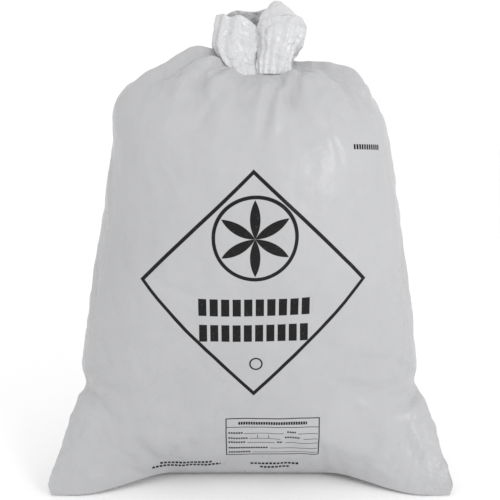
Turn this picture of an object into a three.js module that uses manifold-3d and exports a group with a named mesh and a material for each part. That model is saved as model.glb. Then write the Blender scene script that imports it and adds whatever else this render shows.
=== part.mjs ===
// A full hospital waste bag of white plastic film, tied shut and standing on the floor.
// The bag is a flat film tube, 750 by 1050 mm, welded across its bottom and knotted at its mouth.
// Filled, it swells like a pillow: its two bottom corners stick out as ears, each side has a
// small kink above its ear, and the film gathers into a neck between two raised shoulders.
// Above the neck the film is folded into a loop in front and a flared, open tail on the left.
// Millimetres, +Z up, the printed front faces -Y, and the origin is on the floor under the bag.
import * as THREE from 'three';
import { mergeVertices } from 'three/addons/utils/BufferGeometryUtils.js';
import Module from 'manifold-3d';

const wasm = await Module();
wasm.setup();

// Ears and weld: half the ear-to-ear reach, and how far forward the ears and the weld lie.
const ear_reach = 367;
const ear_forward = 126;
const ear_height = 20;
const weld_forward = 60;
const weld_height = 17;

// Side kinks just above the ears.
const kink_reach = 318;
const kink_height = 177;

// Body: half widths at the belly and under the shoulders, and the depths in front and behind.
const belly_reach = 326;
const belly_height = 214;
const chest_reach = 259;
const chest_height = 640;
const front_depth = 170;
const back_depth = 180;
const deepest_height = 520;
const base_back = 130;
const base_sag = 55;

// Shoulders: the raised film on both sides of the neck.
const left_shoulder_height = 808;
const left_shoulder_reach = 100;
const right_shoulder_height = 781;
const right_shoulder_reach = 132;

// Neck: the gathered film between the shoulders.
const neck_x = 14;
const neck_radius = 38;
const neck_front_height = 757;
const neck_top = 800;

// Loop: the fold of film that hangs in front of the neck, on the right.
const loop_foot = 758;
const loop_top = 891;
const loop_left = 12;
const loop_right = 104;
const loop_depth = 66;

// Tail: the flared mouth of the bag, on the left, with its open end up.
const tail_foot = 768;
const tail_left = 59;
const tail_left_height = 867;
const tail_front_height = 862;
const tail_back_height = 880;
const tail_right_height = 887;
const tail_depth = 30;
const tail_wall = 5;
const mouth_depth = 34;

// Rim dip: beside the loop the tail's rim hangs down; its depth, bearing and half angle.
const dip_depth = 24;
const dip_bearing = 5.1;
const dip_angle = 0.35;

// How round a cross-section is, and how finely the film is divided.
const body_roundness = 2.15;
const fold_roundness = 2.4;
const body_divisions = { around: 96, along: 46 };
const fold_divisions = { around: 28, along: 14 };

// Weld: the shares of the half width between which it drops from its middle to its ears, and
// the shares of the film's height over which the front and the back leave its line.
const weld_drop = [0.36, 0.88];
const weld_fade = { front: 0.22, back: 0.035 };

// Pleats that fan out from the neck: each one's bearing, anticlockwise from the right, and the
// share of the film's height where it begins; then the height and the half angle of them all,
// and the share where they are highest.
const pleats = [
  [0.3, 0.6], [0.8, 0.66], [1.25, 0.68], [1.7, 0.62], [2.28, 0.6], [2.86, 0.66],
  [3.42, 0.6], [3.86, 0.72], [4.26, 0.8], [4.84, 0.76], [5.27, 0.68], [5.98, 0.62],
];
const pleat_height = 8;
const pleat_angle = 0.13;
const pleat_top = 0.95;

const { lerp, smoothstep } = THREE.MathUtils;

function line(...points) {
  return new THREE.CatmullRomCurve3(
    points.map(([x, y, z]) => new THREE.Vector3(x, y, z)), false, 'centripetal');
}

function power(value, roundness) {
  return Math.abs(value) ** (2 / roundness);
}

// A point of the film at share v from the bottom line to the top one, and at an angle round it.
// The ring runs through the right, back, left and front lines at 0, 90, 180 and 270 degrees.
// Near a weld the ring keeps to the weld's own line, which lies flat and drops to its corners.
function film_point(lines, v, angle, roundness, weld) {
  const [right, back, left, front] = lines.map((l) => l.getPointAt(v));
  const [c, s] = [Math.cos(angle), Math.sin(angle)];
  const across = power(c, roundness);
  const side = c >= 0 ? right : left;
  const face = s >= 0 ? back : front;
  let [deep, high] = [power(s, roundness), s * s];
  if (weld) {
    const middle = 1 - smoothstep(across, ...weld_drop);
    const free = smoothstep(v, 0, s >= 0 ? weld_fade.back : weld_fade.front);
    [deep, high] = [lerp(middle, deep, free), lerp(middle, high, free)];
  }
  return new THREE.Vector3(
    lerp((front.x + back.x) / 2, side.x, across),
    lerp(side.y, face.y, deep),
    lerp(side.z, face.z, high));
}

// A closed skin over rings of film points. Each open end is closed by a fan of triangles, and
// a bottom ring whose front and back halves lie on one line closes itself, as a weld does.
function film_skin(point, divisions, welded) {
  const { around, along } = divisions;
  const positions = [];
  const triangles = [];
  for (let i = 0; i <= along; i++) {
    for (let j = 0; j < around; j++) {
      const weld_side = welded && i === 0 && j > around / 2;
      const angle = 2 * Math.PI * (weld_side ? around - j : j) / around;
      positions.push(...point(i / along, angle).toArray());
    }
  }
  for (let i = 0; i < along; i++) {
    for (let j = 0; j < around; j++) {
      const [a, b] = [i * around + j, i * around + (j + 1) % around];
      triangles.push(a, b, b + around, a, b + around, a + around);
    }
  }
  const ends = welded ? [along] : [0, along];
  for (const i of ends) {
    const centre = new THREE.Vector3();
    for (let j = 0; j < around; j++) {
      centre.add(new THREE.Vector3().fromArray(positions, 3 * (i * around + j)));
    }
    const hub = positions.length / 3;
    positions.push(...centre.divideScalar(around).toArray());
    for (let j = 0; j < around; j++) {
      const [a, b] = [i * around + j, i * around + (j + 1) % around];
      triangles.push(...(i === 0 ? [hub, b, a] : [hub, a, b]));
    }
  }
  const skin = new THREE.BufferGeometry();
  skin.setAttribute('position', new THREE.Float32BufferAttribute(positions, 3));
  skin.setIndex(triangles);
  return drop_slivers(mergeVertices(skin, 0.01));
}

// Triangles that lost a corner when the weld's points were merged are left out.
function drop_slivers(skin) {
  const index = skin.getIndex().array;
  const kept = [];
  for (let k = 0; k < index.length; k += 3) {
    const [a, b, c] = [index[k], index[k + 1], index[k + 2]];
    if (a !== b && b !== c && c !== a) kept.push(a, b, c);
  }
  skin.setIndex(kept);
  return skin;
}

function solid(skin) {
  return new wasm.Manifold(new wasm.Mesh({
    numProp: 3,
    vertProperties: Float32Array.from(skin.getAttribute('position').array),
    triVerts: Uint32Array.from(skin.getIndex().array),
  }));
}

function geometry(manifold) {
  const mesh = manifold.getMesh();
  const made = new THREE.BufferGeometry();
  made.setAttribute('position', new THREE.Float32BufferAttribute(mesh.vertProperties, 3));
  made.setIndex([...mesh.triVerts]);
  made.computeVertexNormals();
  return made;
}

// Body: the four lines of the filled bag, from the bottom weld up to the neck.
function body_side(sign, shoulder) {
  return line(
    [sign * ear_reach * 0.984, -ear_forward * 1.02, ear_height * 0.05],
    [sign * ear_reach, -ear_forward, ear_height],
    [sign * ear_reach * 0.981, -ear_forward * 0.84, ear_height * 2.8],
    [sign * ear_reach * 0.946, -ear_forward * 0.55, ear_height * 5.2],
    [sign * kink_reach * 1.047, -ear_forward * 0.28, kink_height * 0.83],
    [sign * kink_reach, -ear_forward * 0.05, kink_height],
    [sign * belly_reach, 0, belly_height],
    [sign * belly_reach * 0.985, 0, belly_height * 1.22],
    [sign * (belly_reach + chest_reach) / 2, 0, (belly_height + chest_height) / 2],
    [sign * chest_reach, 0, chest_height],
    ...shoulder,
    [neck_x + sign * neck_radius, 0, lerp(neck_front_height, neck_top, 0.56)],
    [neck_x + sign * neck_radius * 0.8, 0, neck_top]);
}

function bag_body() {
  const left_rise = (share) => lerp(chest_height, left_shoulder_height, share);
  const left = body_side(-1, [
    [-chest_reach * 0.985, 0, left_rise(0.29)],
    [-chest_reach * 0.946, 0, left_rise(0.49)],
    [-left_shoulder_reach * 2.13, 0, left_rise(0.66)],
    [-left_shoulder_reach * 1.6, 0, left_rise(0.83)],
    [-left_shoulder_reach, 0, left_shoulder_height],
    [-left_shoulder_reach * 0.66, 0, left_rise(0.965)],
  ]);
  const right_rise = (share) => lerp(chest_height, right_shoulder_height, share);
  const right = body_side(1, [
    [chest_reach * 0.963, 0, right_rise(0.29)],
    [chest_reach * 0.878, 0, right_rise(0.55)],
    [chest_reach * 0.843, 0, right_rise(0.7)],
    [right_shoulder_reach * 1.4, 0, right_rise(0.9)],
    [right_shoulder_reach, 0, right_shoulder_height],
    [right_shoulder_reach * 0.7, 0, right_rise(0.98)],
  ]);
  const front = line(
    [0, -weld_forward, weld_height],
    [0, -front_depth * 0.6, belly_height * 0.35],
    [0, -front_depth * 0.75, belly_height * 0.9],
    [0, -front_depth * 0.88, deepest_height * 0.62],
    [0, -front_depth * 0.97, deepest_height * 0.82],
    [0, -front_depth, deepest_height],
    [0, -front_depth * 0.95, lerp(deepest_height, chest_height, 0.75)],
    [0, -front_depth * 0.8, lerp(chest_height, neck_front_height, 0.34)],
    [neck_x / 2, -front_depth * 0.57, lerp(chest_height, neck_front_height, 0.8)],
    [neck_x, -neck_radius * 1.37, neck_front_height],
    [neck_x, -neck_radius, lerp(neck_front_height, neck_top, 0.47)],
    [neck_x, -neck_radius * 0.8, neck_top]);
  const back = line(
    [0, -weld_forward, weld_height],
    [0, -weld_forward * 0.72, weld_height * 0.5],
    [0, -weld_forward * 0.36, -base_sag * 0.12],
    [0, base_back * 0.25, -base_sag],
    [0, base_back * 0.8, -base_sag * 0.65],
    [0, base_back, belly_height * 0.08],
    [0, back_depth * 0.77, belly_height * 0.5],
    [0, back_depth * 0.83, belly_height],
    [0, back_depth * 0.91, deepest_height * 0.62],
    [0, back_depth * 0.98, deepest_height * 0.82],
    [0, back_depth, deepest_height],
    [0, back_depth * 0.95, lerp(deepest_height, chest_height, 0.83)],
    [0, back_depth * 0.78, lerp(chest_height, neck_front_height, 0.56)],
    [neck_x / 2, back_depth * 0.54, neck_front_height],
    [neck_x, neck_radius * 1.42, lerp(neck_front_height, neck_top, 0.37)],
    [neck_x, neck_radius, lerp(neck_front_height, neck_top, 0.6)],
    [neck_x, neck_radius * 0.8, neck_top]);

  const smooth = (v, angle) => {
    return film_point([right, back, left, front], v, angle, body_roundness, true);
  };
  return film_skin((share, angle) => {
    const v = share ** 1.15;
    return smooth(v, angle).addScaledVector(outward(smooth, v, angle), pleat_lift(v, angle));
  }, body_divisions, true);
}

// The outward direction of a smooth skin, from the points close by.
function outward(smooth, v, angle) {
  const step = 0.004;
  const [low, high] = [Math.max(v - step, 0), Math.min(v + step, 1)];
  const up = smooth(high, angle).sub(smooth(low, angle));
  const round = smooth(v, angle + step).sub(smooth(v, angle - step));
  return round.cross(up).normalize();
}

// How far the pleats lift the film: a crest on each bearing, between two shallow hollows.
function pleat_lift(v, angle) {
  let lift = 0;
  for (const [bearing, start] of pleats) {
    const turn = Math.atan2(Math.sin(angle - bearing), Math.cos(angle - bearing)) / pleat_angle;
    const crest = (1 - turn ** 2) * Math.exp(-(turn ** 2) / 2);
    lift += pleat_height * crest * smoothstep(v, start, pleat_top);
  }
  return lift;
}

// Loop: a flattened bulb of film, with a straight lower edge that lies on the bag's front.
// Its points are shares of its width, its depth in front of the neck and its height.
function neck_loop() {
  const at = (across, deep, high) => [
    lerp(loop_left, loop_right, across), -loop_depth * deep, lerp(loop_foot, loop_top, high)];
  const left = line(at(-0.02, 0.75, 0), at(-0.02, 0.62, 0.165), at(0, 0.4, 0.375),
    at(0, 0.33, 0.67), at(0.08, 0.25, 0.835), at(0.26, 0.15, 0.96));
  const right = line(at(0.685, 0.6, 0), at(0.705, 0.55, 0.16), at(0.835, 0.45, 0.345),
    at(1, 0.33, 0.61), at(0.94, 0.25, 0.745), at(0.73, 0.2, 0.85), at(0.6, 0.15, 0.95));
  const front = line(at(0.34, 0.95, 0.025), at(0.36, 1, 0.18), at(0.5, 0.9, 0.625),
    at(0.48, 0.55, 0.865), at(0.445, 0.3, 1));
  const back = line(at(0.34, 0.2, 0.03), at(0.36, 0, 0.18), at(0.5, -0.18, 0.625),
    at(0.48, -0.12, 0.865), at(0.445, 0, 0.985));
  return film_skin((v, angle) => film_point([right, back, left, front], v, angle, fold_roundness),
    fold_divisions, false);
}

// Tail: the mouth of the bag, flared and open upwards. Its inside is the same skin, a wall in,
// from a share of its height up and out through the rim. Its points are shares of its reach to
// the left, its depth in front of the neck and its own height there.
function neck_tail(inset, start) {
  const at = (across, deep, high, top) => [
    tail_left * across, tail_depth * deep, lerp(tail_foot, top, high)];
  const left = line(at(-0.76, -1, 0.1, tail_left_height), at(-0.98, -0.9, 0.24, tail_left_height),
    at(-1.16, -0.7, 0.435, tail_left_height), at(-1.08, -0.5, 0.76, tail_left_height),
    at(-1, -0.3, 1, tail_left_height));
  const right = line(at(0.3, -1.3, -0.1, tail_right_height), at(0.36, -0.4, 0.2, tail_right_height),
    at(0.66, 0.25, 0.695, tail_right_height), at(0.9, 0.15, 1, tail_right_height));
  const front = line(at(-0.2, -2, -0.14, tail_front_height),
    at(-0.3, -1.8, 0.2, tail_front_height), at(-0.3, -1.35, 0.76, tail_front_height),
    at(-0.15, -1.15, 1, tail_front_height));
  const back = line(at(-0.2, 0.4, 0.055, tail_back_height), at(-0.3, 0.9, 0.37, tail_back_height),
    at(-0.1, 1, 0.815, tail_back_height), at(0, 0.9, 1, tail_back_height));
  return film_skin((share, angle) => {
    const v = lerp(start, 1, share);
    const point = film_point([right, back, left, front], v, angle, fold_roundness);
    const middle = new THREE.Vector3().lerpVectors(left.getPointAt(v), right.getPointAt(v), 0.5);
    point.add(middle.sub(point).setZ(0).setLength(inset));
    point.z -= dip_depth * v * Math.exp(-(((angle - dip_bearing) / dip_angle) ** 2));
    point.z += share === 1 ? inset : 0;
    return point;
  }, fold_divisions, false);
}

// The underside sags past the floor and is cut off level with it, which leaves the flat base.
const body = solid(bag_body()).trimByPlane([0, 0, 1], 0);
const mouth_start = 1 - mouth_depth / (tail_front_height - tail_foot);
const tail = solid(neck_tail(0, 0)).subtract(solid(neck_tail(tail_wall, mouth_start)));
const bag_solid = body.add(solid(neck_loop())).add(tail);

const film = new THREE.MeshStandardMaterial({ color: 0xdcdcdf, roughness: 0.38, metalness: 0 });
const bag = new THREE.Mesh(geometry(bag_solid), film);
bag.name = 'waste_bag';

const part = new THREE.Group();
part.add(bag);

export default part;
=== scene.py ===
"""A full hospital waste bag of milky plastic film, tied shut in its own film, on a pale floor."""

import math

import bpy
import numpy as np
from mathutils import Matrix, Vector, noise


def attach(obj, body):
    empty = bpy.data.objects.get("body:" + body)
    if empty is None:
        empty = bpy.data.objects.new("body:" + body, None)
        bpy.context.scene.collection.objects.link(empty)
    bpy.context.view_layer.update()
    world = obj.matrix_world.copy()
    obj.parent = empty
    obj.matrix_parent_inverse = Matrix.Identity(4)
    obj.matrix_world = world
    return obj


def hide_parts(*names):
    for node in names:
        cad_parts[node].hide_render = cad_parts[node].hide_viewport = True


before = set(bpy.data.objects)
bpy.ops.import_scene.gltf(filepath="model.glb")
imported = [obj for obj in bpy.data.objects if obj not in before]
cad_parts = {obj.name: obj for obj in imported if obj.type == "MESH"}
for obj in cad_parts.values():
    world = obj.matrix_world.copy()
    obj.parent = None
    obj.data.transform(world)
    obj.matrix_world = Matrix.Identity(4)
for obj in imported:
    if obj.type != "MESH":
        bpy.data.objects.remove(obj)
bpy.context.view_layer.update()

# The filled bag. A tube of white polyethylene film, 750 mm wide when flat, is welded across its
# bottom and filled, so it swells like a pillow: ears at the two bottom corners, a kink above
# each ear, two shoulders, and the film gathered between them into the neck.
EAR_REACH, EAR_FORWARD, EAR_HEIGHT = 0.367, 0.126, 0.020
WELD_FORWARD, WELD_HEIGHT = 0.060, 0.017
KINK_REACH, KINK_HEIGHT = 0.318, 0.177
BELLY_REACH, BELLY_HEIGHT = 0.326, 0.214
CHEST_REACH, CHEST_HEIGHT = 0.259, 0.640
FRONT_DEPTH, BACK_DEPTH, DEEPEST_HEIGHT = 0.170, 0.180, 0.520
BASE_BACK, BASE_SAG = 0.130, 0.055
LEFT_SHOULDER, RIGHT_SHOULDER = (0.100, 0.808), (0.132, 0.781)
NECK_X, NECK_RADIUS, NECK_FRONT_HEIGHT, NECK_TOP = 0.014, 0.038, 0.757, 0.806
FILM_AROUND, FILM_ALONG = 216, 144
BACK, FRONT = FILM_AROUND // 4, FILM_AROUND * 3 // 4


def between(low, high, share):
    return low + (high - low) * share


def ease(value, start, end):
    share = np.clip((value - start) / (end - start), 0, 1)
    return share * share * (3 - 2 * share)


def film_line(*points):
    """A smooth line through the points, read at shares of its length."""
    p = np.array(points, dtype=float)
    p = np.vstack([2 * p[0] - p[1], p, 2 * p[-1] - p[-2]])
    steps = np.linspace(0, 1, 24, endpoint=False)
    path = []
    for a, b, c, d in zip(p, p[1:], p[2:], p[3:]):
        k0, k1, k2 = [np.linalg.norm(v - u) ** 0.5 for u, v in ((a, b), (b, c), (c, d))]
        tb = ((b - a) / k0 - (c - a) / (k0 + k1) + (c - b) / k1) * k1
        tc = ((c - b) / k1 - (d - b) / (k1 + k2) + (d - c) / k2) * k1
        for t in steps:
            path.append((2 * t**3 - 3 * t**2 + 1) * b + (t**3 - 2 * t**2 + t) * tb
                        + (3 * t**2 - 2 * t**3) * c + (t**3 - t**2) * tc)
    path = np.array(path + [p[-2]])
    run = np.concatenate([[0], np.cumsum(np.linalg.norm(np.diff(path, axis=0), axis=1))])
    return lambda v: np.stack([np.interp(v * run[-1], run, path[:, k]) for k in range(3)], axis=-1)


def film_rings(right, back, left, front, v, angle, roundness, welded=False):
    """Points of a skin at rows v and columns angle, through the four lines."""
    c, s = np.cos(angle)[None, :], np.sin(angle)[None, :]
    r, b, l, f = [line(v)[:, None, :] for line in (right, back, left, front)]
    side = np.where((c >= 0)[..., None], r, l)
    face = np.where((s >= 0)[..., None], b, f)
    across = np.abs(c) ** (2 / roundness) + 0 * v[:, None]
    deep, high = np.abs(s) ** (2 / roundness) + 0 * v[:, None], s * s + 0 * v[:, None]
    if welded:
        middle = 1 - ease(across, 0.36, 0.88)
        free = np.where(s >= 0, ease(v[:, None], 0, 0.035), ease(v[:, None], 0, 0.22))
        deep, high = between(middle, deep, free), between(middle, high, free)
    return np.stack([between((f[..., 0] + b[..., 0]) / 2, side[..., 0], across),
                     between(side[..., 1], face[..., 1], deep),
                     between(side[..., 2], face[..., 2], high)], axis=-1)


def bag_side(sign, shoulder):
    return film_line(
        (sign * EAR_REACH * 0.984, -EAR_FORWARD * 1.02, EAR_HEIGHT * 0.05),
        (sign * EAR_REACH, -EAR_FORWARD, EAR_HEIGHT),
        (sign * EAR_REACH * 0.981, -EAR_FORWARD * 0.84, EAR_HEIGHT * 2.8),
        (sign * EAR_REACH * 0.946, -EAR_FORWARD * 0.55, EAR_HEIGHT * 5.2),
        (sign * KINK_REACH * 1.047, -EAR_FORWARD * 0.28, KINK_HEIGHT * 0.83),
        (sign * KINK_REACH, -EAR_FORWARD * 0.05, KINK_HEIGHT),
        (sign * BELLY_REACH, 0, BELLY_HEIGHT),
        (sign * BELLY_REACH * 0.985, 0, BELLY_HEIGHT * 1.22),
        (sign * (BELLY_REACH + CHEST_REACH) / 2, 0, (BELLY_HEIGHT + CHEST_HEIGHT) / 2),
        (sign * CHEST_REACH, 0, CHEST_HEIGHT),
        *shoulder,
        (NECK_X + sign * NECK_RADIUS, 0, between(NECK_FRONT_HEIGHT, NECK_TOP, 0.56)),
        (NECK_X + sign * NECK_RADIUS * 0.8, 0, NECK_TOP))


def rise(shoulder, share):
    return between(CHEST_HEIGHT, shoulder[1], share)


bag_lines = [
    bag_side(1, [
        (CHEST_REACH * 0.963, 0, rise(RIGHT_SHOULDER, 0.29)),
        (CHEST_REACH * 0.878, 0, rise(RIGHT_SHOULDER, 0.55)),
        (CHEST_REACH * 0.843, 0, rise(RIGHT_SHOULDER, 0.70)),
        (RIGHT_SHOULDER[0] * 1.4, 0, rise(RIGHT_SHOULDER, 0.90)),
        (RIGHT_SHOULDER[0], 0, RIGHT_SHOULDER[1]),
        (RIGHT_SHOULDER[0] * 0.7, 0, rise(RIGHT_SHOULDER, 0.98))]),
    film_line(
        (0, -WELD_FORWARD, WELD_HEIGHT),
        (0, -WELD_FORWARD * 0.72, WELD_HEIGHT * 0.5),
        (0, -WELD_FORWARD * 0.36, -BASE_SAG * 0.12),
        (0, BASE_BACK * 0.25, -BASE_SAG),
        (0, BASE_BACK * 0.8, -BASE_SAG * 0.65),
        (0, BASE_BACK, BELLY_HEIGHT * 0.08),
        (0, BACK_DEPTH * 0.77, BELLY_HEIGHT * 0.5),
        (0, BACK_DEPTH * 0.83, BELLY_HEIGHT),
        (0, BACK_DEPTH * 0.91, DEEPEST_HEIGHT * 0.62),
        (0, BACK_DEPTH * 0.98, DEEPEST_HEIGHT * 0.82),
        (0, BACK_DEPTH, DEEPEST_HEIGHT),
        (0, BACK_DEPTH * 0.95, between(DEEPEST_HEIGHT, CHEST_HEIGHT, 0.83)),
        (0, BACK_DEPTH * 0.78, between(CHEST_HEIGHT, NECK_FRONT_HEIGHT, 0.56)),
        (NECK_X / 2, BACK_DEPTH * 0.54, NECK_FRONT_HEIGHT),
        (NECK_X, NECK_RADIUS * 1.42, between(NECK_FRONT_HEIGHT, NECK_TOP, 0.37)),
        (NECK_X, NECK_RADIUS, between(NECK_FRONT_HEIGHT, NECK_TOP, 0.6)),
        (NECK_X, NECK_RADIUS * 0.8, NECK_TOP)),
    bag_side(-1, [
        (-CHEST_REACH * 0.985, 0, rise(LEFT_SHOULDER, 0.29)),
        (-CHEST_REACH * 0.946, 0, rise(LEFT_SHOULDER, 0.49)),
        (-LEFT_SHOULDER[0] * 2.13, 0, rise(LEFT_SHOULDER, 0.66)),
        (-LEFT_SHOULDER[0] * 1.6, 0, rise(LEFT_SHOULDER, 0.83)),
        (-LEFT_SHOULDER[0], 0, LEFT_SHOULDER[1]),
        (-LEFT_SHOULDER[0] * 0.66, 0, rise(LEFT_SHOULDER, 0.965))]),
    film_line(
        (0, -WELD_FORWARD, WELD_HEIGHT),
        (0, -FRONT_DEPTH * 0.6, BELLY_HEIGHT * 0.35),
        (0, -FRONT_DEPTH * 0.75, BELLY_HEIGHT * 0.9),
        (0, -FRONT_DEPTH * 0.88, DEEPEST_HEIGHT * 0.62),
        (0, -FRONT_DEPTH * 0.97, DEEPEST_HEIGHT * 0.82),
        (0, -FRONT_DEPTH, DEEPEST_HEIGHT),
        (0, -FRONT_DEPTH * 0.95, between(DEEPEST_HEIGHT, CHEST_HEIGHT, 0.75)),
        (0, -FRONT_DEPTH * 0.8, between(CHEST_HEIGHT, NECK_FRONT_HEIGHT, 0.34)),
        (NECK_X / 2, -FRONT_DEPTH * 0.57, between(CHEST_HEIGHT, NECK_FRONT_HEIGHT, 0.8)),
        (NECK_X, -NECK_RADIUS * 1.37, NECK_FRONT_HEIGHT),
        (NECK_X, -NECK_RADIUS, between(NECK_FRONT_HEIGHT, NECK_TOP, 0.47)),
        (NECK_X, -NECK_RADIUS * 0.8, NECK_TOP)),
]

bag_v = np.linspace(0, 1, FILM_ALONG + 1) ** 1.1
bag_angle = np.arange(FILM_AROUND) * 2 * math.pi / FILM_AROUND
bag_points = film_rings(*bag_lines, bag_v, bag_angle, 2.15, welded=True)

# Film coordinates in metres: across from the front's centre line and up from the weld.
ring_steps = np.linalg.norm(np.roll(bag_points, -1, axis=1) - bag_points, axis=2)
ring_run = np.concatenate([np.zeros((len(bag_v), 1)), np.cumsum(ring_steps, axis=1)], axis=1)
film_across = ring_run[:, :-1] - ring_run[:, FRONT:FRONT + 1]
girth = ring_run[:, -1:]
film_across = np.where(np.arange(FILM_AROUND) < BACK, film_across + girth, film_across)
front_steps = np.linalg.norm(np.diff(bag_points[:, FRONT], axis=0), axis=1)
film_up = np.concatenate([[0], np.cumsum(front_steps)])[:, None] + 0 * film_across


FILM_SPAN = 1.6  # metres of film that the UV map covers, across and up


def skin(name, points, across, up, girth, welded=False, capped=True):
    """A mesh over rows and rings of points, with film coordinates as its UV map."""
    rows, around = points.shape[:2]
    mesh = bpy.data.meshes.new(name)
    vertices = [tuple(p) for p in points.reshape(-1, 3)]
    index = np.arange(rows * around).reshape(rows, around)
    if welded:
        half = np.arange(around // 2 + 1, around)
        index[0, half] = index[0, around - half]
    faces, corners = [], []
    for i in range(rows - 1):
        for j in range(around):
            k = (j + 1) % around
            quad = [(i, j), (i, k), (i + 1, k), (i + 1, j)]
            ids = [int(index[q]) for q in quad]
            if len(set(ids)) < 3:
                continue
            faces.append(ids)
            places = []
            for q in quad:
                laps = round((across[i, j] - across[q]) / girth[q[0]])
                places.append((float(across[q] + girth[q[0]] * laps), float(up[q])))
            corners.append(places)
    if capped:
        hub = len(vertices)
        vertices.append(tuple(points[-1].mean(axis=0)))
        for j in range(around):
            k = (j + 1) % around
            faces.append([int(index[-1, j]), int(index[-1, k]), hub])
            corners.append([(float(across[-1, j]), float(up[-1, j]))] * 3)
    mesh.from_pydata(vertices, [], faces)
    uv = mesh.uv_layers.new(name="film")
    for polygon, places in zip(mesh.polygons, corners):
        for loop, (u, w) in zip(polygon.loop_indices, places):
            uv.data[loop].uv = (0.5 + u / FILM_SPAN, w / FILM_SPAN)
    piece = bpy.data.objects.new(name, mesh)
    bpy.context.scene.collection.objects.link(piece)
    for other in bpy.context.selected_objects:
        other.select_set(False)
    piece.select_set(True)
    bpy.context.view_layer.objects.active = piece
    bpy.ops.object.mode_set(mode="EDIT")
    bpy.ops.mesh.select_all(action="SELECT")
    bpy.ops.mesh.delete_loose()
    bpy.ops.mesh.select_all(action="SELECT")
    bpy.ops.mesh.normals_make_consistent(inside=False)
    bpy.ops.object.mode_set(mode="OBJECT")
    bpy.ops.object.shade_smooth()
    return piece


def ridge(across, up, start, end, width, height):
    """A soft ridge of the film, or a valley if its height is below zero, between two places."""
    (x0, y0), (x1, y1) = start, end
    run = np.array([x1 - x0, y1 - y0])
    length = np.linalg.norm(run)
    along = ((across - x0) * run[0] + (up - y0) * run[1]) / length**2
    aside = ((across - x0) * run[1] - (up - y0) * run[0]) / length
    ends = ease(along, -0.12, 0.2) * (1 - ease(along, 0.6, 1.12))
    return height * np.exp(-(aside / width) ** 2) * ends


def outward(points):
    """The outward direction at each point of a skin that closes round."""
    round_it = np.roll(points, -1, axis=1) - np.roll(points, 1, axis=1)
    up_it = np.gradient(points, axis=0)
    direction = np.cross(round_it, up_it)
    return direction / np.maximum(np.linalg.norm(direction, axis=2, keepdims=True), 1e-9)


def crumple(points, size, seed):
    """Irregular film creases of about that size, between -1 and 1."""
    offset = Vector((seed * 7.3, seed * 3.1, seed * 5.7))
    flat = [noise.ridged_multi_fractal(Vector(p) / size + offset, 0.9, 2.1, 4, 1.0, 2.0)
            for p in points.reshape(-1, 3)]
    return np.clip(np.array(flat).reshape(points.shape[:2]) - 1.0, -1, 1)


def facets(points, size, seed):
    """Flat facets between sharp creases of about that size, between -1 and 1."""
    turns = np.random.default_rng(seed)
    bend = np.stack([swell(points, size * 1.6, seed + k) for k in range(3)], axis=-1)
    warped = points + 0.35 * size * bend
    total = np.zeros(points.shape[:2])
    for _ in range(4):
        direction = turns.normal(size=3)
        direction /= np.linalg.norm(direction)
        phase = warped @ direction / (size * turns.uniform(0.8, 1.7)) + turns.uniform()
        total += np.abs((phase % 1) * 2 - 1) * 2 - 1
    return total / 2.6


def swell(points, size, seed):
    """Broad soft swelling of about that size, between -1 and 1."""
    offset = Vector((seed * 4.7, seed * 8.9, seed * 2.3))
    flat = [noise.noise(Vector(p) / size + offset) for p in points.reshape(-1, 3)]
    return np.array(flat).reshape(points.shape[:2])


# Folds of the front, from place to place in millimetres of film, with their width and height.
FRONT_FOLDS = [
    ((-95, 800), (-55, 690), 12, 3.5), ((87, 790), (75, 700), 7, -4.0),
    ((-120, 760), (-150, 640), 14, 3.0), ((-35, 745), (-70, 600), 10, 2.6),
    ((-52, 740), (-100, 640), 7, -2.4),
    ((62, 770), (33, 630), 10, 6.0), ((20, 750), (2, 640), 9, 4.5), ((40, 760), (18, 640), 7, -3.6),
    ((72, 770), (57, 690), 9, -5.0), ((100, 775), (200, 655), 17, 6.0),
    ((120, 790), (190, 700), 10, -4.0), ((175, 740), (212, 650), 9, -5.0),
    ((190, 722), (268, 628), 8, -6.0), ((215, 725), (250, 670), 12, 4.0),
    ((100, 690), (150, 600), 6, 2.6), ((125, 715), (170, 590), 8, 3.2),
    ((140, 700), (190, 610), 5, -2.0), ((-150, 580), (-112, 528), 6, 2.2),
    ((-165, 386), (-80, 374), 7, -2.4), ((-150, 330), (-95, 300), 8, 2.0),
    ((288, 560), (306, 400), 6, 4.0), ((330, 470), (352, 340), 5, 3.0),
    ((318, 420), (330, 330), 6, -3.0), ((-318, 560), (-292, 450), 7, 3.5),
    ((-337, 420), (-333, 290), 6, 3.5), ((-310, 380), (-316, 300), 6, -2.5),
    ((355, 196), (255, 135), 11, -6.0), ((355, 200), (270, 245), 10, -4.5),
    ((350, 188), (230, 180), 9, 3.5), ((-345, 192), (-250, 130), 11, -6.0),
    ((-345, 195), (-262, 240), 10, -4.5), ((-340, 186), (-225, 176), 9, 3.0),
    ((-51, 190), (-53, 10), 2.4, -1.4), ((128, 80), (146, -10), 5, -4.5),
    ((150, 232), (262, 212), 9, 1.8), ((175, 262), (280, 252), 7, -1.6),
    ((196, 176), (216, 158), 9, 3.0), ((-215, 95), (-150, 30), 12, -4.0),
    ((240, 100), (190, 25), 12, -4.5), ((300, 120), (330, 40), 12, 4.0),
    ((-300, 125), (-325, 40), 12, 4.0), ((-20, 300), (70, 292), 9, -1.2),
    ((-120, 470), (-170, 420), 9, -1.6), ((230, 340), (262, 300), 9, 1.8),
]
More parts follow.
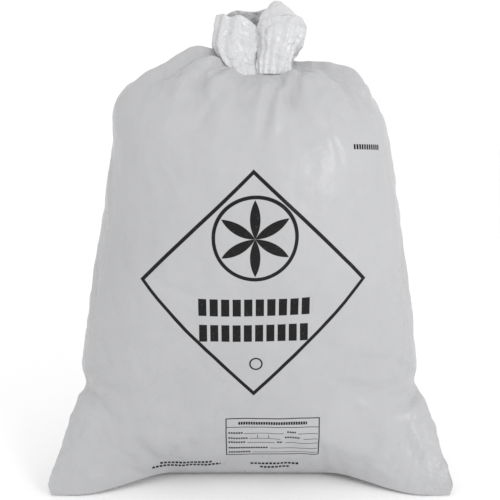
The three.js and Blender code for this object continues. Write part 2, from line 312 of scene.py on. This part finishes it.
BACK_FOLDS = [
    ((-70, 760), (-140, 600), 12, 7.0), ((-30, 770), (-60, 560), 10, -6.0),
    ((20, 780), (10, 600), 10, 5.0), ((70, 770), (130, 610), 13, 7.0),
    ((110, 760), (230, 640), 14, -6.0), ((-130, 760), (-240, 650), 12, -6.0),
    ((-90, 540), (-60, 400), 16, 3.0), ((120, 520), (100, 380), 14, -3.0),
    ((-200, 430), (-120, 330), 12, 3.0), ((330, 200), (220, 140), 12, -6.0),
    ((-330, 200), (-220, 140), 12, -6.0), ((180, 300), (60, 270), 12, 3.0),
    ((-260, 240), (-140, 200), 11, -3.0), ((240, 90), (150, 60), 12, 5.0),
    ((-240, 90), (-150, 60), 12, 5.0), ((-20, 150), (0, 60), 12, -4.0),
    ((90, 150), (70, 60), 12, 3.0),
]

back_across = ring_run[:, :-1] - ring_run[:, BACK:BACK + 1]
back_across = np.where(np.arange(FILM_AROUND) > FRONT, back_across - girth, back_across)
facing_front = 1 - ease(np.abs(film_across), girth / 4, girth / 4 + 0.06)
facing_front *= ease(np.abs(back_across), 0.10, 0.30)
facing_back = ease(np.abs(film_across), 0.34, 0.46)
lift = np.zeros_like(film_across)
for facing, sideways, folds in ((facing_front, film_across, FRONT_FOLDS),
                                (facing_back, back_across, BACK_FOLDS)):
    for fold in folds:
        lift += facing * ridge(sideways * 1000, film_up * 1000, *fold) / 1000

# Pleats fan out from the neck, each at its bearing and from a share of the film's height up:
# broad ones with a hollow on both sides, and narrow ones between them, highest near the neck.
PLEATS = [(0.3, 0.6), (0.8, 0.66), (1.25, 0.68), (1.7, 0.62), (2.28, 0.6), (2.86, 0.66),
          (3.42, 0.6), (3.86, 0.72), (4.26, 0.8), (4.84, 0.76), (5.27, 0.68), (5.98, 0.62)]
NARROW_PLEATS = [(0.12, 0.7), (0.52, 0.74), (1.02, 0.72), (1.48, 0.7), (1.92, 0.74),
                 (2.06, 0.7), (2.5, 0.72), (2.68, 0.76), (3.05, 0.7), (3.22, 0.74),
                 (3.62, 0.78), (3.72, 0.7), (4.06, 0.8), (4.42, 0.86), (4.6, 0.84),
                 (4.98, 0.8), (5.12, 0.76), (5.42, 0.74), (5.56, 0.7), (5.72, 0.76),
                 (6.14, 0.72)]
PLEAT_HEIGHT, PLEAT_ANGLE, PLEAT_TOP = 0.008, 0.13, 0.95
NARROW_HEIGHT, NARROW_ANGLE = 0.0028, 0.05
for crest_height, crest_angle, pleats in ((PLEAT_HEIGHT, PLEAT_ANGLE, PLEATS),
                                          (NARROW_HEIGHT, NARROW_ANGLE, NARROW_PLEATS)):
    for bearing, low in pleats:
        turn = ((bag_angle - bearing + math.pi) % (2 * math.pi) - math.pi) / crest_angle
        crest = (1 - turn**2) * np.exp(-turn**2 / 2)
        lift += crest_height * crest[None, :] * ease(bag_v, low, PLEAT_TOP)[:, None]

# The film's own relief: each pattern with its size and its seed, and how high it stands all over,
# at the side edges, near the neck and on the left shoulder, where the film is drawn tightest.
RELIEF = [
    (swell, 0.16, 1, 0.0045, 0, 0, 0),
    (swell, 0.055, 2, 0.0016, 0, 0, 0),
    (crumple, 0.050, 3, 0.0008, 0.0022, 0.0012, 0),
    (facets, 0.045, 11, 0.0006, 0.0012, 0.0016, 0.0010),
    (crumple, 0.020, 4, 0, 0.0026, 0, 0.0022),
    (facets, 0.10, 21, 0.0013, 0, 0, 0),
]
STREAK_SIZE, STREAK_HEIGHT, STREAK_SQUASH = 0.026, 0.0009, (1.0, 1.0, 0.3)
neckwards = ease(bag_v, 0.70, 0.9)[:, None] + 0 * film_across
left_shoulder = neckwards * ease(-np.cos(bag_angle), 0.1, 0.7)[None, :]
edge = np.exp(-(np.sin(bag_angle) / 0.11) ** 2)[None, :] + 0 * film_across
floorwards = 1 - ease(bag_points[..., 2], 0.0, 0.02)
for pattern, size, seed, all_over, at_edge, at_neck, on_left in RELIEF:
    stands = all_over + at_edge * edge + at_neck * neckwards + on_left * left_shoulder
    lift += stands * pattern(bag_points, size, seed)
lift += STREAK_HEIGHT * crumple(bag_points * STREAK_SQUASH, STREAK_SIZE, 9)
lift *= (1 - floorwards) * ease(bag_v, 0.0, 0.03)[:, None]

# Where the loop and the tail lie on it, in front of the neck, the film is smooth and stands proud.
FOOT_ACROSS, FOOT_UP, FOOT_WIDTH, FOOT_HEIGHT, FOOT_LIFT = 0.020, 0.797, 0.078, 0.026, 0.006
foot = np.exp(-((film_across - FOOT_ACROSS) / FOOT_WIDTH) ** 2
              - ((film_up - FOOT_UP) / FOOT_HEIGHT) ** 2)
lift = between(lift, FOOT_LIFT, foot)
bag_points = bag_points + outward(bag_points) * lift[..., None]
bag_points[..., 2] = np.maximum(bag_points[..., 2], 0.0)
bag = skin("waste_bag_film", bag_points, film_across, film_up, girth[:, 0], welded=True)

# The full bag settles: held at its neck, its weld and where it rests, the film swells a little.
def settle(piece, held, cap, pressure, growth, frames):
    """Lets the film swell by cloth simulation, no point by more than the cap."""
    start = np.array([v.co[:] for v in piece.data.vertices])
    group = piece.vertex_groups.new(name="held")
    for index in range(len(start)):
        group.add([index], float(held(start[index])), "REPLACE")
    cloth = piece.modifiers.new("settle", "CLOTH")
    cloth.settings.vertex_group_mass = "held"
    cloth.settings.quality = 5
    cloth.settings.mass = 0.08
    cloth.settings.tension_stiffness = cloth.settings.compression_stiffness = 12
    cloth.settings.shear_stiffness = 6
    cloth.settings.bending_stiffness = 0.15
    cloth.settings.use_pressure = True
    cloth.settings.uniform_pressure_force = pressure
    cloth.settings.shrink_min = -growth
    cloth.settings.effector_weights.gravity = 0
    cloth.collision_settings.use_collision = False
    cloth.point_cache.frame_start, cloth.point_cache.frame_end = 1, frames
    scene = bpy.context.scene
    for number in range(1, frames + 1):
        scene.frame_set(number)
    swollen = piece.evaluated_get(bpy.context.evaluated_depsgraph_get()).to_mesh()
    moved = np.array([v.co[:] for v in swollen.vertices]) - start
    piece.modifiers.remove(cloth)
    piece.vertex_groups.remove(group)
    scene.frame_set(1)
    far = np.linalg.norm(moved, axis=1, keepdims=True)
    moved *= np.minimum(1, cap / np.maximum(far, 1e-9))
    place = start + moved
    place[:, 2] = np.maximum(place[:, 2], 0.0)
    piece.data.vertices.foreach_set("co", place.reshape(-1))
    piece.data.update()


def held_at(point):
    """1 where the film rests or is gathered into the neck, 0 where it is free."""
    at_floor = 1 - min(point[2] / 0.03, 1)
    at_neck = min(max((point[2] - 0.74) / 0.04, 0), 1)
    return max(at_floor, at_neck)


settle(bag, held_at, cap=0.003, pressure=1.5, growth=0.012, frames=16)

bag.modifiers.new("smooth", "SUBSURF").levels = 1
bag.modifiers["smooth"].render_levels = 1
bpy.ops.object.modifier_apply(modifier="smooth")


# The film's finish: milky white, waxy, with fine creases, and the black print of the front.
def maths(tree, operation, first, second=None):
    """A Math node's result; each input is a number or another node's output."""
    node = tree.nodes.new("ShaderNodeMath")
    node.operation = operation
    for socket, value in zip(node.inputs, (first, second)):
        if isinstance(value, (int, float)):
            socket.default_value = value
        elif value is not None:
            tree.links.new(value, socket)
    return node.outputs[0]


def group_with(name, inputs, output):
    """A new node group with number inputs and one number output."""
    group = bpy.data.node_groups.new(name, "ShaderNodeTree")
    for label in inputs:
        group.interface.new_socket(name=label, in_out="INPUT", socket_type="NodeSocketFloat")
    group.interface.new_socket(name=output, in_out="OUTPUT", socket_type="NodeSocketFloat")
    entry, result = group.nodes.new("NodeGroupInput"), group.nodes.new("NodeGroupOutput")
    return group, entry.outputs, result.inputs[0]


INK_EDGE = 0.0006


def ink_inside(tree, outside):
    """Ink that ends in a soft edge where the distance outside rises past zero."""
    ink = maths(tree, "SUBTRACT", 0.5, maths(tree, "DIVIDE", outside, INK_EDGE))
    return maths(tree, "MINIMUM", maths(tree, "MAXIMUM", ink, 0), 1)


printed_box, box_in, box_out = group_with(
    "printed_box", ["Across", "Up", "Centre across", "Centre up", "Half width", "Half height"], "Ink")
past = []
for label, centre, half in (("Across", "Centre across", "Half width"),
                            ("Up", "Centre up", "Half height")):
    gap = maths(printed_box, "SUBTRACT", box_in[label], box_in[centre])
    gap = maths(printed_box, "ABSOLUTE", gap)
    past.append(maths(printed_box, "SUBTRACT", gap, box_in[half]))
printed_box.links.new(ink_inside(printed_box, maths(printed_box, "MAXIMUM", *past)), box_out)

printed_ring, ring_in, ring_out = group_with(
    "printed_ring", ["Across", "Up", "Centre across", "Centre up", "Radius", "Half line"], "Ink")


def distance(tree, x, y):
    """The length of a step x across and y up."""
    squares = [maths(tree, "MULTIPLY", step, step) for step in (x, y)]
    return maths(tree, "SQRT", maths(tree, "ADD", *squares))


dx = maths(printed_ring, "SUBTRACT", ring_in["Across"], ring_in["Centre across"])
dy = maths(printed_ring, "SUBTRACT", ring_in["Up"], ring_in["Centre up"])
gap = maths(printed_ring, "SUBTRACT", distance(printed_ring, dx, dy), ring_in["Radius"])
outside = maths(printed_ring, "SUBTRACT", maths(printed_ring, "ABSOLUTE", gap), ring_in["Half line"])
printed_ring.links.new(ink_inside(printed_ring, outside), ring_out)

# Milky film: the base tone, its uneven thickness, its roughness and its creases, for all parts.
film_surface = bpy.data.node_groups.new("film_surface", "ShaderNodeTree")
for label in ("Crinkle", "Shade"):
    film_surface.interface.new_socket(name=label, in_out="INPUT", socket_type="NodeSocketFloat")
for label, kind in (("Colour", "Color"), ("Roughness", "Float"), ("Normal", "Vector")):
    film_surface.interface.new_socket(name=label, in_out="OUTPUT", socket_type="NodeSocket" + kind)
surface_in = film_surface.nodes.new("NodeGroupInput").outputs
surface_out = film_surface.nodes.new("NodeGroupOutput").inputs
place = film_surface.nodes.new("ShaderNodeTexCoord").outputs["Object"]


def noise_of(tree, where, scale, detail=3.0, distortion=0.0, kind="FBM", stretch=None):
    """A noise pattern's value; scale is in patches a metre."""
    texture = tree.nodes.new("ShaderNodeTexNoise")
    texture.noise_type = kind
    texture.inputs["Scale"].default_value = scale
    texture.inputs["Detail"].default_value = detail
    texture.inputs["Distortion"].default_value = distortion
    if stretch:
        mapping = tree.nodes.new("ShaderNodeMapping")
        mapping.inputs["Scale"].default_value = stretch
        tree.links.new(where, mapping.inputs["Vector"])
        where = mapping.outputs["Vector"]
    tree.links.new(where, texture.inputs["Vector"])
    return texture.outputs[0]


def times(tree, value, factor):
    return maths(tree, "MULTIPLY", value, factor)


CLOUD_TONE, PATCH_TONE, MIDDLE_TONE, FILM_TINT = 0.075, 0.03, 0.052, (0.992, 0.995, 1.015)
LEAST_ROUGH, PATCH_ROUGH = 0.22, 0.16
cloud = noise_of(film_surface, place, 5.0, 4.0)
patchy = noise_of(film_surface, place, 38.0, 5.0, 0.6)
tone = maths(film_surface, "ADD", times(film_surface, cloud, CLOUD_TONE),
             times(film_surface, patchy, PATCH_TONE))
tone = maths(film_surface, "SUBTRACT", tone, MIDDLE_TONE)
tone = maths(film_surface, "ADD", tone, surface_in["Shade"])
colour = film_surface.nodes.new("ShaderNodeCombineColor")
for socket, tint in zip(colour.inputs, FILM_TINT):
    film_surface.links.new(maths(film_surface, "MULTIPLY", tone, tint), socket)
film_surface.links.new(colour.outputs[0], surface_out["Colour"])
gloss = maths(film_surface, "ADD", LEAST_ROUGH, times(film_surface, patchy, PATCH_ROUGH))
film_surface.links.new(gloss, surface_out["Roughness"])
creases = noise_of(film_surface, place, 26.0, 4.0, 0.9, "RIDGED_MULTIFRACTAL")


def facets_of(tree, where, scale):
    """Flat facets between creases, as small pyramids; scale is in facets a metre."""
    bent = tree.nodes.new("ShaderNodeTexNoise")
    bent.inputs["Scale"].default_value = scale * 0.6
    mixed = tree.nodes.new("ShaderNodeMix")
    mixed.data_type = "VECTOR"
    mixed.inputs["Factor"].default_value = 0.03
    tree.links.new(where, bent.inputs["Vector"])
    tree.links.new(where, mixed.inputs[4])
    tree.links.new(bent.outputs["Color"], mixed.inputs[5])
    cells = tree.nodes.new("ShaderNodeTexVoronoi")
    cells.distance = "CHEBYCHEV"
    cells.inputs["Scale"].default_value = scale
    tree.links.new(mixed.outputs[1], cells.inputs["Vector"])
    return cells.outputs["Distance"]


# Heights in metres, of what grows with the crinkle and of what is the same all over.
CREASE_HEIGHT, BROAD_FACET, SMALL_FACET = 0.0012, 0.0052, 0.0018
FINE_HEIGHT, STREAK_BUMP = 0.00028, 0.00025
broad_facets = facets_of(film_surface, place, 42.0)
small_facets = facets_of(film_surface, place, 95.0)
fine = noise_of(film_surface, place, 90.0, 4.0, 0.5)
streaks = noise_of(film_surface, place, 60.0, 3.0, 0.2, stretch=(1.0, 1.0, 0.06))
crumpled = maths(film_surface, "ADD", times(film_surface, broad_facets, BROAD_FACET),
                 times(film_surface, small_facets, SMALL_FACET))
crumpled = maths(film_surface, "ADD", times(film_surface, creases, CREASE_HEIGHT), crumpled)
height = times(film_surface, crumpled, surface_in["Crinkle"])
for pattern, relief in ((fine, FINE_HEIGHT), (streaks, STREAK_BUMP)):
    height = maths(film_surface, "ADD", height, times(film_surface, pattern, relief))
bump = film_surface.nodes.new("ShaderNodeBump")
bump.inputs["Strength"].default_value = 0.9
bump.inputs["Distance"].default_value = 1.0
film_surface.links.new(height, bump.inputs["Height"])
film_surface.links.new(bump.outputs["Normal"], surface_out["Normal"])


def film_material(name, shade, specular, crinkle=None):
    """A material of the milky film; crinkle is a number, or the piece's own attribute if None."""
    material = bpy.data.materials.new(name)
    material.use_nodes = True
    tree = material.node_tree
    shader = tree.nodes["Principled BSDF"]
    surface = tree.nodes.new("ShaderNodeGroup")
    surface.node_tree = film_surface
    surface.inputs["Shade"].default_value = shade
    if crinkle is None:
        attribute = tree.nodes.new("ShaderNodeAttribute")
        attribute.attribute_name = "crinkle"
        tree.links.new(attribute.outputs["Fac"], surface.inputs["Crinkle"])
    else:
        surface.inputs["Crinkle"].default_value = crinkle
    tree.links.new(surface.outputs["Colour"], shader.inputs["Base Color"])
    tree.links.new(surface.outputs["Roughness"], shader.inputs["Roughness"])
    tree.links.new(surface.outputs["Normal"], shader.inputs["Normal"])
    shader.inputs["IOR"].default_value = 1.5
    shader.inputs["Specular IOR Level"].default_value = specular
    return material, tree, shader, surface


printed, tree, shader, surface = film_material("printed_film", 0.44, 0.22)
uv = tree.nodes.new("ShaderNodeUVMap")
uv.uv_map = "film"
split = tree.nodes.new("ShaderNodeSeparateXYZ")
tree.links.new(uv.outputs["UV"], split.inputs[0])
PRINT_SLANT = 0.020  # the print climbs a little towards the right
across = times(tree, maths(tree, "SUBTRACT", split.outputs["X"], 0.5), FILM_SPAN)
up = times(tree, split.outputs["Y"], FILM_SPAN)
up = maths(tree, "SUBTRACT", up, times(tree, across, PRINT_SLANT))
marks = []


def mark(group, *values, places=None):
    """Ink from a group, at places of the film or at those given."""
    node = tree.nodes.new("ShaderNodeGroup")
    node.node_tree = group
    for socket, value in zip(node.inputs, (*(places or (across, up)), *values)):
        if isinstance(value, (int, float)):
            socket.default_value = value
        else:
            tree.links.new(value, socket)
    return node.outputs[0]


def printed_from_to(left, right, low, high, places=None):
    """Ink over a plain rectangle, in millimetres of film."""
    centre, half = ((left + right) / 2, (low + high) / 2), ((right - left) / 2, (high - low) / 2)
    return mark(printed_box, *(value / 1000 for value in centre + half), places=places)


# The diamond frame is a square turned by an eighth, and drawn as a line.
DIAMOND_ACROSS, DIAMOND_UP, DIAMOND_HALF, DIAMOND_LINE = 0.0055, 0.3935, 0.1985, 0.0062
EIGHTH_TURN = math.sqrt(0.5)
tilted = maths(tree, "ADD", maths(tree, "ABSOLUTE", maths(tree, "SUBTRACT", across, DIAMOND_ACROSS)),
               maths(tree, "ABSOLUTE", maths(tree, "SUBTRACT", up, DIAMOND_UP)))
tilted = times(tree, tilted, EIGHTH_TURN)
marks.append(mark(printed_box, DIAMOND_HALF * EIGHTH_TURN, 0.0, DIAMOND_LINE / 2, 1.0,
                  places=(tilted, 0.0)))

# A compass rosette: six pointed petals drawn with one radius, in a plain ring.
ROSE_ACROSS, ROSE_UP, ROSE_RADIUS = 0.008, 0.479, 0.066
RING_GAP, RING_HALF_LINE = 0.0045, 0.0032
rx = maths(tree, "SUBTRACT", across, ROSE_ACROSS)
ry = maths(tree, "SUBTRACT", up, ROSE_UP)
far = distance(tree, rx, ry)
sixths = tree.nodes.new("ShaderNodeMath")
sixths.operation = "WRAP"
sixths.inputs[1].default_value, sixths.inputs[2].default_value = math.pi / 6, -math.pi / 6
tree.links.new(maths(tree, "ARCTAN2", rx, ry), sixths.inputs[0])
sector = maths(tree, "ABSOLUTE", sixths.outputs[0])
petal = [maths(tree, "MULTIPLY", far, maths(tree, part, sector)) for part in ("COSINE", "SINE")]
marks.append(mark(printed_ring, ROSE_RADIUS / 2, -ROSE_RADIUS * math.sqrt(0.75), 0.0, ROSE_RADIUS,
                  places=petal))
marks.append(mark(printed_ring, ROSE_ACROSS, ROSE_UP, ROSE_RADIUS + RING_GAP, RING_HALF_LINE))

# Two rows of plain upright blocks, a small ring, and rows of small blocks near the weld.
def block_row(left, right, low, high, period, share, places=None):
    """A row of plain blocks: a long bar, cut by even gaps."""
    bar = printed_from_to(left, right, low, high, places)
    x = (places or (across, up))[0]
    run = maths(tree, "SUBTRACT", x, left / 1000)
    phase = maths(tree, "FRACT", maths(tree, "DIVIDE", run, period / 1000))
    return maths(tree, "MULTIPLY", bar, maths(tree, "LESS_THAN", phase, share))


for row in ((-91, 109, 341, 372, 20, 0.72), (-90, 106, 294, 325, 19.6, 0.72),
            (-168, -72, 35, 41, 7, 0.75), (-184, -56, 26, 32, 7, 0.75),
            (0, 91, 25, 31, 7, 0.75), (18, 72, 14, 20, 7, 0.75)):
    marks.append(block_row(*row))
marks.append(mark(printed_ring, 0.0095, 0.253, 0.0105, 0.0014))
ROW_START, ROW_SLANT = 0.183, 0.24
slanted = maths(tree, "ADD", up, times(tree, maths(tree, "SUBTRACT", across, ROW_START), ROW_SLANT))
marks.append(block_row(184, 249, 603, 611, 6, 0.7, places=(across, slanted)))

# The form to fill in: a ruled box with a header band and five lines.
for ruled in (
        (-45, 125, 142, 144), (-45, 125, 58, 60), (-45, -43, 58, 144), (123, 125, 58, 144),
        (-45, 125, 124, 125.4), (-12, 60, 110, 111.2), (86, 122, 110, 111.2), (-2, 54, 97, 98.2),
        (96, 122, 97, 98.2), (-6, 44, 87, 88.2), (62, 122, 87, 88.2), (36, 122, 74, 75.2),
        (4, 122, 64, 65.2), (12, 13.2, 99, 106), (32, 33.2, 99, 106)):
    marks.append(printed_from_to(*ruled))
marks.append(block_row(-22, 102, 130, 136, 4.5, 0.78))
for left, right, low in ((-40, -14, 110), (66, 82, 112), (-40, -5, 97), (62, 90, 99),
                         (-40, -9, 87), (48, 58, 88), (-40, 32, 74), (-40, 1, 64)):
    marks.append(block_row(left, right, low, low + 3.6, 4.5, 0.78))
ink = marks[0]
for other in marks[1:]:
    ink = maths(tree, "MAXIMUM", ink, other)
INK_LEAST, INK_VARIES, INK_COLOUR = 0.84, 0.4, (0.003, 0.003, 0.0035, 1)
speckle = noise_of(tree, tree.nodes.new("ShaderNodeTexCoord").outputs["Object"], 220.0, 3.0)
cover = maths(tree, "ADD", times(tree, speckle, INK_VARIES), INK_LEAST)
ink = maths(tree, "MULTIPLY", ink, maths(tree, "MINIMUM", cover, 1.0))
inked = tree.nodes.new("ShaderNodeMix")
inked.data_type = "RGBA"
tree.links.new(ink, inked.inputs["Factor"])
tree.links.new(surface.outputs["Colour"], inked.inputs[6])
inked.inputs[7].default_value = INK_COLOUR
tree.links.new(inked.outputs[2], shader.inputs["Base Color"])
bag.data.materials.append(printed)

# How crinkled the film is: least on the belly, more near the neck, most at the side edges.
BELLY_CRINKLE, NECK_CRINKLE, EDGE_CRINKLE = 0.12, 0.3, 0.5
LOW_EDGE, HIGH_EDGE = 0.335, 0.262
creased = bag.data.attributes.new("crinkle", "FLOAT", "POINT")
spots = np.array([v.co[:] for v in bag.data.vertices])
near_neck = np.clip((spots[:, 2] - 0.66) / 0.12, 0, 1)
edge_at = between(LOW_EDGE, HIGH_EDGE, np.clip(spots[:, 2] / CHEST_HEIGHT, 0, 1))
near_edge = np.clip((np.abs(spots[:, 0]) / edge_at - 0.86) / 0.12, 0, 1)
crinkle = BELLY_CRINKLE + NECK_CRINKLE * near_neck + EDGE_CRINKLE * near_edge
creased.data.foreach_set("value", np.clip(crinkle, 0, 1))
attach(bag, "root")
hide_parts("waste_bag")

# The loop. Above the neck the film is folded over into a bulb that hangs down in front, on the
# right; it is the same film, crumpled where the knot grips it, and its lower edge hangs free.
LOOP_FOOT, LOOP_TOP, LOOP_LEFT, LOOP_RIGHT, LOOP_DEPTH = 0.758, 0.891, 0.012, 0.104, 0.066
LOOP_ROWS, LOOP_AROUND, LOOP_INSET = 81, 120, 0.0015


def loop_line(*shares):
    """A line of the loop, through shares of its width, depth and height."""
    return film_line(*((between(LOOP_LEFT, LOOP_RIGHT, x), -LOOP_DEPTH * y,
                        between(LOOP_FOOT, LOOP_TOP, z)) for x, y, z in shares))


loop_lines = [
    loop_line((0.685, 0.74, 0), (0.705, 0.62, 0.16), (0.835, 0.45, 0.345), (1, 0.33, 0.61),
              (0.94, 0.25, 0.745), (0.73, 0.2, 0.85), (0.6, 0.15, 0.95)),
    loop_line((0.34, 0.2, 0.03), (0.36, 0, 0.18), (0.5, -0.18, 0.625), (0.48, -0.12, 0.865),
              (0.445, 0, 0.985)),
    loop_line((-0.02, 0.85, 0), (-0.02, 0.68, 0.165), (0, 0.4, 0.375), (0, 0.33, 0.67),
              (0.08, 0.25, 0.835), (0.26, 0.15, 0.96)),
    loop_line((0.34, 0.98, 0.0), (0.36, 1.0, 0.18), (0.5, 0.9, 0.625), (0.48, 0.55, 0.865),
              (0.445, 0.3, 1)),
]
loop_v = np.linspace(0, 1, LOOP_ROWS)
loop_angle = np.arange(LOOP_AROUND) * 2 * math.pi / LOOP_AROUND
loop_points = film_rings(*loop_lines, loop_v, loop_angle, 2.4)


def pleat_at(angle, bearing, width):
    """A soft pleat round a skin at that bearing, 1 high."""
    turn = (angle - bearing + math.pi) % (2 * math.pi) - math.pi
    return np.exp(-(turn / width) ** 2)[None, :]


# Each pleat of the loop: its bearing, how far up it reaches, and its height in millimetres.
LOOP_PLEATS = [(4.2, 0.1, 2.6), (4.55, 0.0, 2.2), (4.9, 0.15, 2.8), (5.25, 0.0, 2.0), (5.6, 0.2, 2.4),
               (3.85, 0.0, 3.0), (3.4, 0.2, 2.0), (0.2, 0.1, 2.2), (0.9, 0.2, 2.4), (1.7, 0.1, 2.4)]
lift = 0.0034 * facets(loop_points, 0.034, 5) + 0.0012 * crumple(loop_points, 0.016, 6) - LOOP_INSET
for bearing, reach, high in LOOP_PLEATS:
    fades = 1 - ease(loop_v, reach + 0.25, reach + 0.85)[:, None]
    lift += high / 1000 * pleat_at(loop_angle, bearing, 0.11) * fades
loop_points = loop_points + outward(loop_points) * lift[..., None]
unprinted = np.zeros((LOOP_ROWS, LOOP_AROUND))
loop = skin("neck_loop", loop_points, unprinted, unprinted, np.ones(LOOP_ROWS))
# Painted light: the loop and the tail share a lighter copy of the bag's film, a base tone of 0.57 against
# the bag's 0.44, painted lighter for the brightness of thin film with light shining through it.
crumpled = film_material("crumpled_film_painted_lighter", 0.57, 0.75, 1.0)[0]
loop.data.materials.append(crumpled)
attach(loop, "root")

# The tail. The bag's mouth comes out of the knot on the left as a short flared tube, pleated and
# open upwards; a single thickness of film with a wavy rim.
TAIL_FOOT, TAIL_LEFT, TAIL_DEPTH = 0.768, 0.059, 0.030
RIM_LEFT, RIM_FRONT, RIM_BACK, RIM_RIGHT = 0.867, 0.862, 0.880, 0.887
DIP_DEPTH, DIP_BEARING, DIP_ANGLE = 0.024, 5.1, 0.35
WAVES, WAVE_HEIGHT = 7, 0.0018
TAIL_ROWS, TAIL_AROUND, TAIL_WALL = 61, 144, 0.0006


def tail_line(rim, *shares):
    """A line of the tail, through shares of its width, its depth and its height to the rim."""
    return film_line(*((TAIL_LEFT * x, TAIL_DEPTH * y, between(TAIL_FOOT, rim, z)) for x, y, z in shares))


tail_lines = [
    tail_line(RIM_RIGHT, (0.3, -1.3, -0.1), (0.36, -0.4, 0.2), (0.66, 0.25, 0.695), (0.9, 0.15, 1)),
    tail_line(RIM_BACK, (-0.2, 0.4, 0.055), (-0.3, 0.9, 0.37), (-0.1, 1, 0.815), (0, 0.9, 1)),
    tail_line(RIM_LEFT, (-0.76, -1, 0.1), (-0.98, -0.9, 0.24), (-1.16, -0.7, 0.435),
              (-1.08, -0.5, 0.76), (-1, -0.3, 1)),
    tail_line(RIM_FRONT, (-0.2, -2, -0.14), (-0.3, -1.8, 0.2), (-0.3, -1.35, 0.76), (-0.15, -1.15, 1)),
]
tail_v = np.linspace(0, 1, TAIL_ROWS)
tail_angle = np.arange(TAIL_AROUND) * 2 * math.pi / TAIL_AROUND
tail_points = film_rings(*tail_lines, tail_v, tail_angle, 2.4)

# Each pleat or hollow of the tail: its bearing, and its height in millimetres.
TAIL_PLEATS = [(3.3, 2.6), (3.62, -2.0), (3.9, 3.0), (4.2, -2.6), (4.5, 2.6), (4.85, -2.4), (5.3, 2.2),
               (0.3, 2.6), (0.8, -2.4), (1.2, 3.0), (1.7, -2.8), (2.1, 3.0), (2.5, -2.4), (2.85, 2.6)]
lift = 0.0030 * facets(tail_points, 0.032, 7) + 0.0010 * crumple(tail_points, 0.014, 8)
for bearing, high in TAIL_PLEATS:
    lift += high / 1000 * pleat_at(tail_angle, bearing, 0.13) * (0.5 + 0.5 * tail_v[:, None])
tail_points = tail_points + outward(tail_points) * lift[..., None]
dip = np.exp(-((tail_angle - DIP_BEARING) / DIP_ANGLE) ** 2)[None, :]
wave = np.sin(WAVES * tail_angle + 0.8)[None, :]
tail_points[..., 2] -= DIP_DEPTH * tail_v[:, None] * dip
tail_points[..., 2] += WAVE_HEIGHT * ease(tail_v, 0.8, 1)[:, None] * wave
unprinted = np.zeros((TAIL_ROWS, TAIL_AROUND))
tail = skin("neck_tail", tail_points, unprinted, unprinted, np.ones(TAIL_ROWS), capped=False)
wall = tail.modifiers.new("wall", "SOLIDIFY")
wall.thickness = TAIL_WALL
wall.offset = -1
bpy.ops.object.modifier_apply(modifier="wall")
tail.data.materials.append(crumpled)
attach(tail, "root")

# The room: a pale floor, a soft broad light from the front right, and the camera.
bpy.ops.mesh.primitive_plane_add(size=80)
floor = bpy.context.object
floor.name = "floor"
pale = bpy.data.materials.new("pale_floor")
pale.use_nodes = True
finish = pale.node_tree.nodes["Principled BSDF"].inputs
finish["Base Color"].default_value = (0.98, 0.98, 0.98, 1)
finish["Roughness"].default_value = 0.9
floor.data.materials.append(pale)

world = bpy.data.worlds.new("studio")
bpy.context.scene.world = world
world.use_nodes = True
background = world.node_tree.nodes["Background"].inputs
background["Color"].default_value = (1, 1, 1, 1)
background["Strength"].default_value = 1.03
bpy.context.scene.view_settings.view_transform = "Standard"

CAMERA_DISTANCE, CAMERA_HEIGHT, AIM_HEIGHT = 1.5, 0.65, 0.45
for name, place, size, power in (("key", (1.7, -2.3, 1.3), 0.8, 24),
                                 ("fill", (-2.2, -1.8, 1.2), 1.6, 2)):
    lamp = bpy.data.lights.new(name, "AREA")
    lamp.size = size
    lamp.energy = power
    light = bpy.data.objects.new(name, lamp)
    light.location = place
    towards = Vector((0, 0, AIM_HEIGHT)) - Vector(place)
    light.rotation_euler = towards.to_track_quat("-Z", "Y").to_euler()
    bpy.context.scene.collection.objects.link(light)

camera = bpy.data.objects.new("camera", bpy.data.cameras.new("camera"))
camera.location = (0, -CAMERA_DISTANCE, CAMERA_HEIGHT)
downwards = math.atan2(CAMERA_HEIGHT - AIM_HEIGHT, CAMERA_DISTANCE)
camera.rotation_euler = (math.radians(90) - downwards, 0, 0)
camera.data.lens = 57.3
camera.data.shift_x = -0.001
camera.data.shift_y = -0.0172
bpy.context.scene.collection.objects.link(camera)
bpy.context.scene.camera = camera
